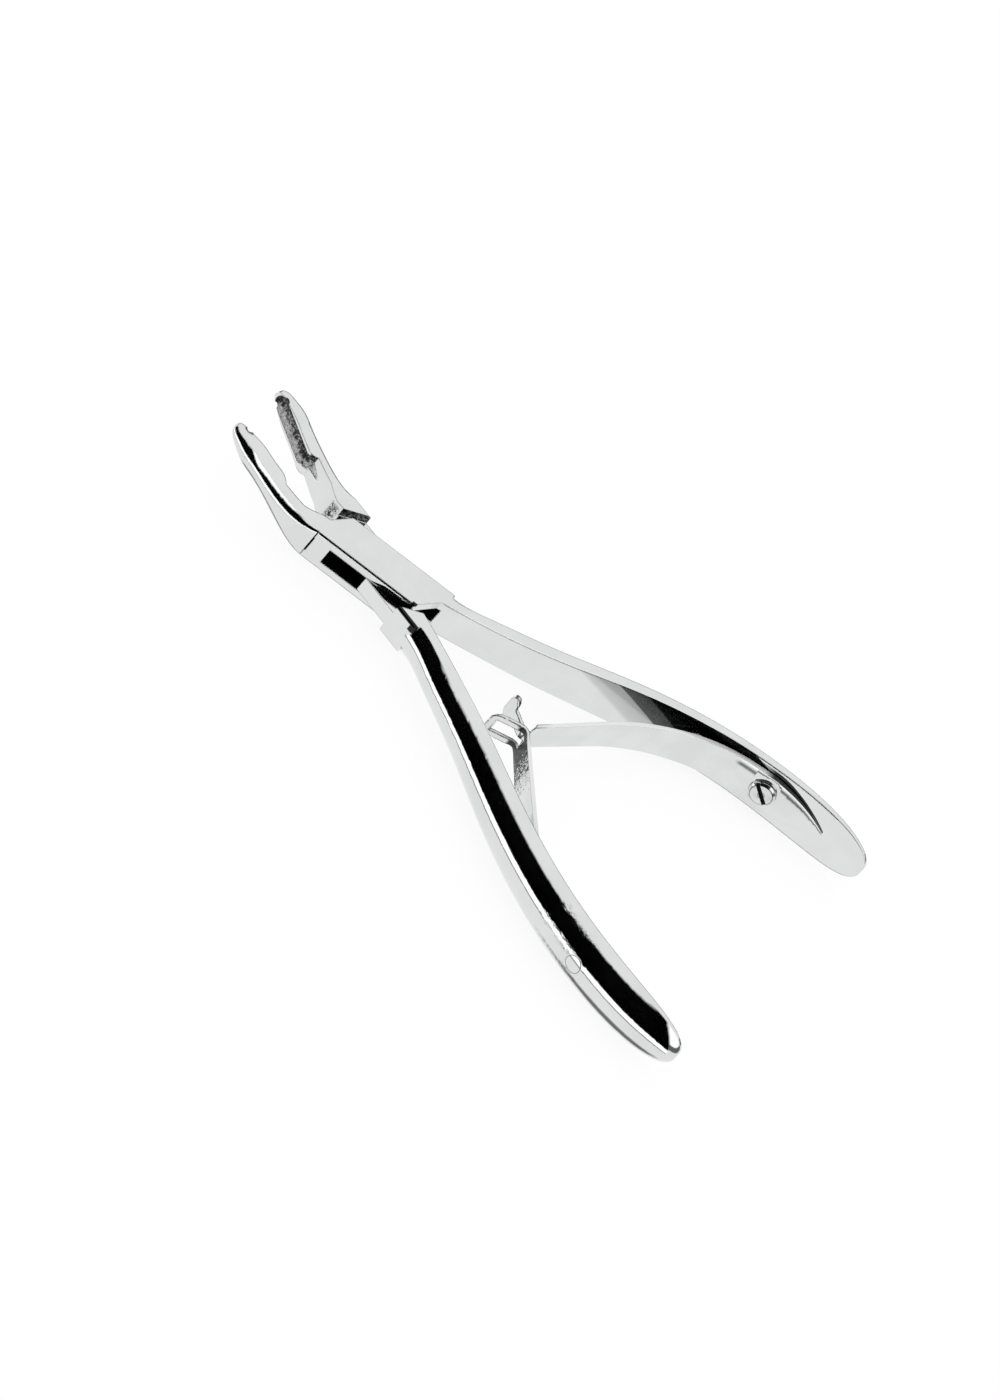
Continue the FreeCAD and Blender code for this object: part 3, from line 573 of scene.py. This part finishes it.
hook_steel = spring_finish("hook spring steel", HOOK_SHADE_REACH)
link_steel = spring_finish("link spring steel", LINK_SHADE_REACH)
print("finishes:", hook_steel.name, "and", link_steel.name)

# %% [markdown]
# Leaf springs
#
# Each spring is a strip of spring steel, bent once to bow and once at its tip, so that one can
# hook through the other. The imported strips are rigid, though real ones bend as the handles
# close. Each is copied, its tail is ground thin and its edges are broken with a real bevel.

# %% Springs
JOIN_REACH = 0.002 * MM
SPRING_EDGE = 0.14 * MM
BOW_MIDDLE = Vector((92.6, -82.2))
SEAT_RADIUS = 102.82
TAIL_START = 93.0
TAIL_END = 104.8
TAIL_THINNING = 0.8
FLAT_WITHIN = math.radians(0.4)
SHARP_FROM = math.radians(35)
LEAF_SMOOTH_BELOW = math.radians(50)
HOOK_BEND = ((80.5, 36.2, 4.0), (-6.7, -35.0, 4.0))
LINK_BEND = ((66.1, -31.4, 4.0), (7.3, 15.6, 4.0))


def joined_copy(node, name):
    """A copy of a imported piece, with its doubled points joined, selected whole in edit mode."""
    made = bpy.data.objects.new(name, nodes[node].data.copy())
    bpy.context.scene.collection.objects.link(made)
    bpy.ops.object.select_all(action="DESELECT")
    made.select_set(True)
    bpy.context.view_layer.objects.active = made
    bpy.ops.mesh.customdata_custom_splitnormals_clear()
    bpy.ops.object.mode_set(mode="EDIT")
    bpy.ops.mesh.select_all(action="SELECT")
    bpy.ops.mesh.remove_doubles(threshold=JOIN_REACH)
    return made


def thin_tail(mesh, side):
    """Grinds the leaf's tail towards its seat, which is an arc about the handle's bow."""
    for point in mesh.vertices:
        x, y = closed_frame(point.co.x / MM, point.co.y / MM, side)
        share = (x - TAIL_START) / (TAIL_END - TAIL_START)
        if share <= 0:
            continue
        arm = Vector((x, y * side)) - BOW_MIDDLE
        height = SEAT_RADIUS - arm.length
        moved = BOW_MIDDLE + arm.normalized() * (SEAT_RADIUS - height * (1 - TAIL_THINNING * share))
        x, y = closed_frame(moved.x, moved.y * side, -side)
        point.co.x = x * MM
        point.co.y = y * MM


def bending_leaf(node, name, side, own_arm, other_arm, start, end, finish):
    """A copy of a packed spring with its tail thinned and its edges broken."""
    leaf = joined_copy(node, name)
    bpy.ops.mesh.dissolve_limited(angle_limit=FLAT_WITHIN)
    bpy.ops.object.mode_set(mode="OBJECT")
    thin_tail(leaf.data, side)
    broken = leaf.modifiers.new("broken edges", "BEVEL")
    broken.width = SPRING_EDGE
    broken.segments = 3
    broken.limit_method = "ANGLE"
    broken.angle_limit = SHARP_FROM
    bpy.ops.object.modifier_apply(modifier="broken edges")
    bpy.ops.object.shade_smooth_by_angle(angle=LEAF_SMOOTH_BELOW)
    paint(leaf, finish)
    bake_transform(leaf)
    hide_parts(node)
    print(name, len(leaf.data.vertices), "points")


bending_leaf("hook_spring", "hook_leaf", 1, "box_arm", "tongue_arm", *HOOK_BEND, hook_steel)
bending_leaf("slot_spring", "link_leaf", -1, "tongue_arm", "box_arm", *LINK_BEND, link_steel)

# %% [markdown]
# Turned steel
#
# A screw's head is turned on a lathe, which leaves fine rings around its middle, and it is
# crossed by a driver slot whose recess is painted dark as shade. The other end is ground and
# polished together with the handle, so that only a thin ring shows there. Rings and marks follow
# the distance from the screw's axis.

# %% Screw finish
SCREW_MIDDLE = Vector((84.65, 35.6, 4.0))
SCREW_HEADING = math.radians(-77.22)
HEAD_DEPTH = 1.3
RING_SPACING = 0.3
SCREW_ROUNDING = 0.15 * MM
SCREW_SHINE = (0.72, 0.735, 0.73, 1)
SCREW_DIM = (0.60, 0.61, 0.61, 1)
SCREW_DARK = (0.01, 0.01, 0.01, 1)


def screw_axis(side):
    """A point on the screw's axis, in millimetres, and the way its head faces."""
    middle = Vector((SCREW_MIDDLE.x, side * SCREW_MIDDLE.y, SCREW_MIDDLE.z))
    return middle, Vector((math.cos(SCREW_HEADING), side * math.sin(SCREW_HEADING), 0.0))


def turned_finish(title, side):
    """Fine rings round the screw's axis. side is +1 for the box half's screw."""
    made = bpy.data.materials.new(title)
    tree = Tree(made)
    place = tree.surface()[0]
    middle, heading = screw_axis(side)
    arm = tree.vector_maths("SUBTRACT", place, tuple(middle))
    radius = tree.node("ShaderNodeVectorMath", {"operation": "LENGTH"},
                       tree.vector_maths("CROSS_PRODUCT", arm, tuple(heading)), output=1)
    depth = tree.vector_maths("DOT_PRODUCT", arm, tuple(heading), output=1)
    clouds = tree.noise(place, 0.8, 4.0)

    head = tree.step(depth, -HEAD_DEPTH - 0.5, -HEAD_DEPTH)
    rings = (radius * (2 * math.pi / RING_SPACING)).math("SINE") * head
    # painted shade in the driver slot
    slot = tree.step(depth, -0.2, -0.3) * head * tree.step(radius, 2.75, 2.65)
    rim = tree.within(radius, 2.35, 2.5, 0.08) * head
    flush_ring = tree.within(radius, 1.76, 1.9, 0.03) * (1.0 - head)
    dimple = tree.within(radius, 0.55, 0.8, 0.1) * head
    dark = slot.max(rim * 0.7).max(dimple * 0.5).max(flush_ring * 0.55)

    colour = tree.mix(tree.step(clouds, 0.4, 0.65) * head, SCREW_SHINE, SCREW_DIM)
    colour = tree.mix(dark, colour, SCREW_DARK)
    relief = rings * 2.5 + clouds * (head * 4.0)
    tree.metal_surface(colour, 1.0, 0.05 + clouds * (head * 0.2), relief, tree.rounded(SCREW_ROUNDING))
    return made


hook_turned = turned_finish("turned screw of the box half", 1)
link_turned = turned_finish("turned screw of the tongue half", -1)
print("finishes:", hook_turned.name, "and", link_turned.name)

# %% [markdown]
# Screws
#
# Nobody tightens two screws to the same angle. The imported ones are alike, so each is copied and
# its head is turned about the screw's axis, to where the photograph shows its slot.

# %% Screws
HOOK_SCREW_TURN = math.radians(48.4)
LINK_SCREW_TURN = math.radians(-20)
SCREW_SMOOTH_BELOW = math.radians(30)


def turned_screw(node, name, side, body, angle, finish):
    """A copy of a packed screw whose head is turned about its axis."""
    made = joined_copy(node, name)
    bpy.ops.object.mode_set(mode="OBJECT")
    middle, heading = screw_axis(side)
    middle = middle * MM
    spin = Matrix.Translation(middle) @ Matrix.Rotation(angle, 4, heading) @ Matrix.Translation(-middle)
    turned = 0
    for point in made.data.vertices:
        if (point.co - middle).dot(heading) > -HEAD_DEPTH * MM:
            point.co = spin @ point.co
            turned += 1
    bpy.ops.object.shade_smooth_by_angle(angle=SCREW_SMOOTH_BELOW)
    paint(made, finish)
    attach(made, body)
    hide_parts(node)
    print(name, turned, "points of the head turned")


turned_screw("hook_spring_screw", "hook_screw", 1, "box_arm", HOOK_SCREW_TURN, hook_turned)
turned_screw("slot_spring_screw", "link_screw", -1, "tongue_arm", LINK_SCREW_TURN, link_turned)
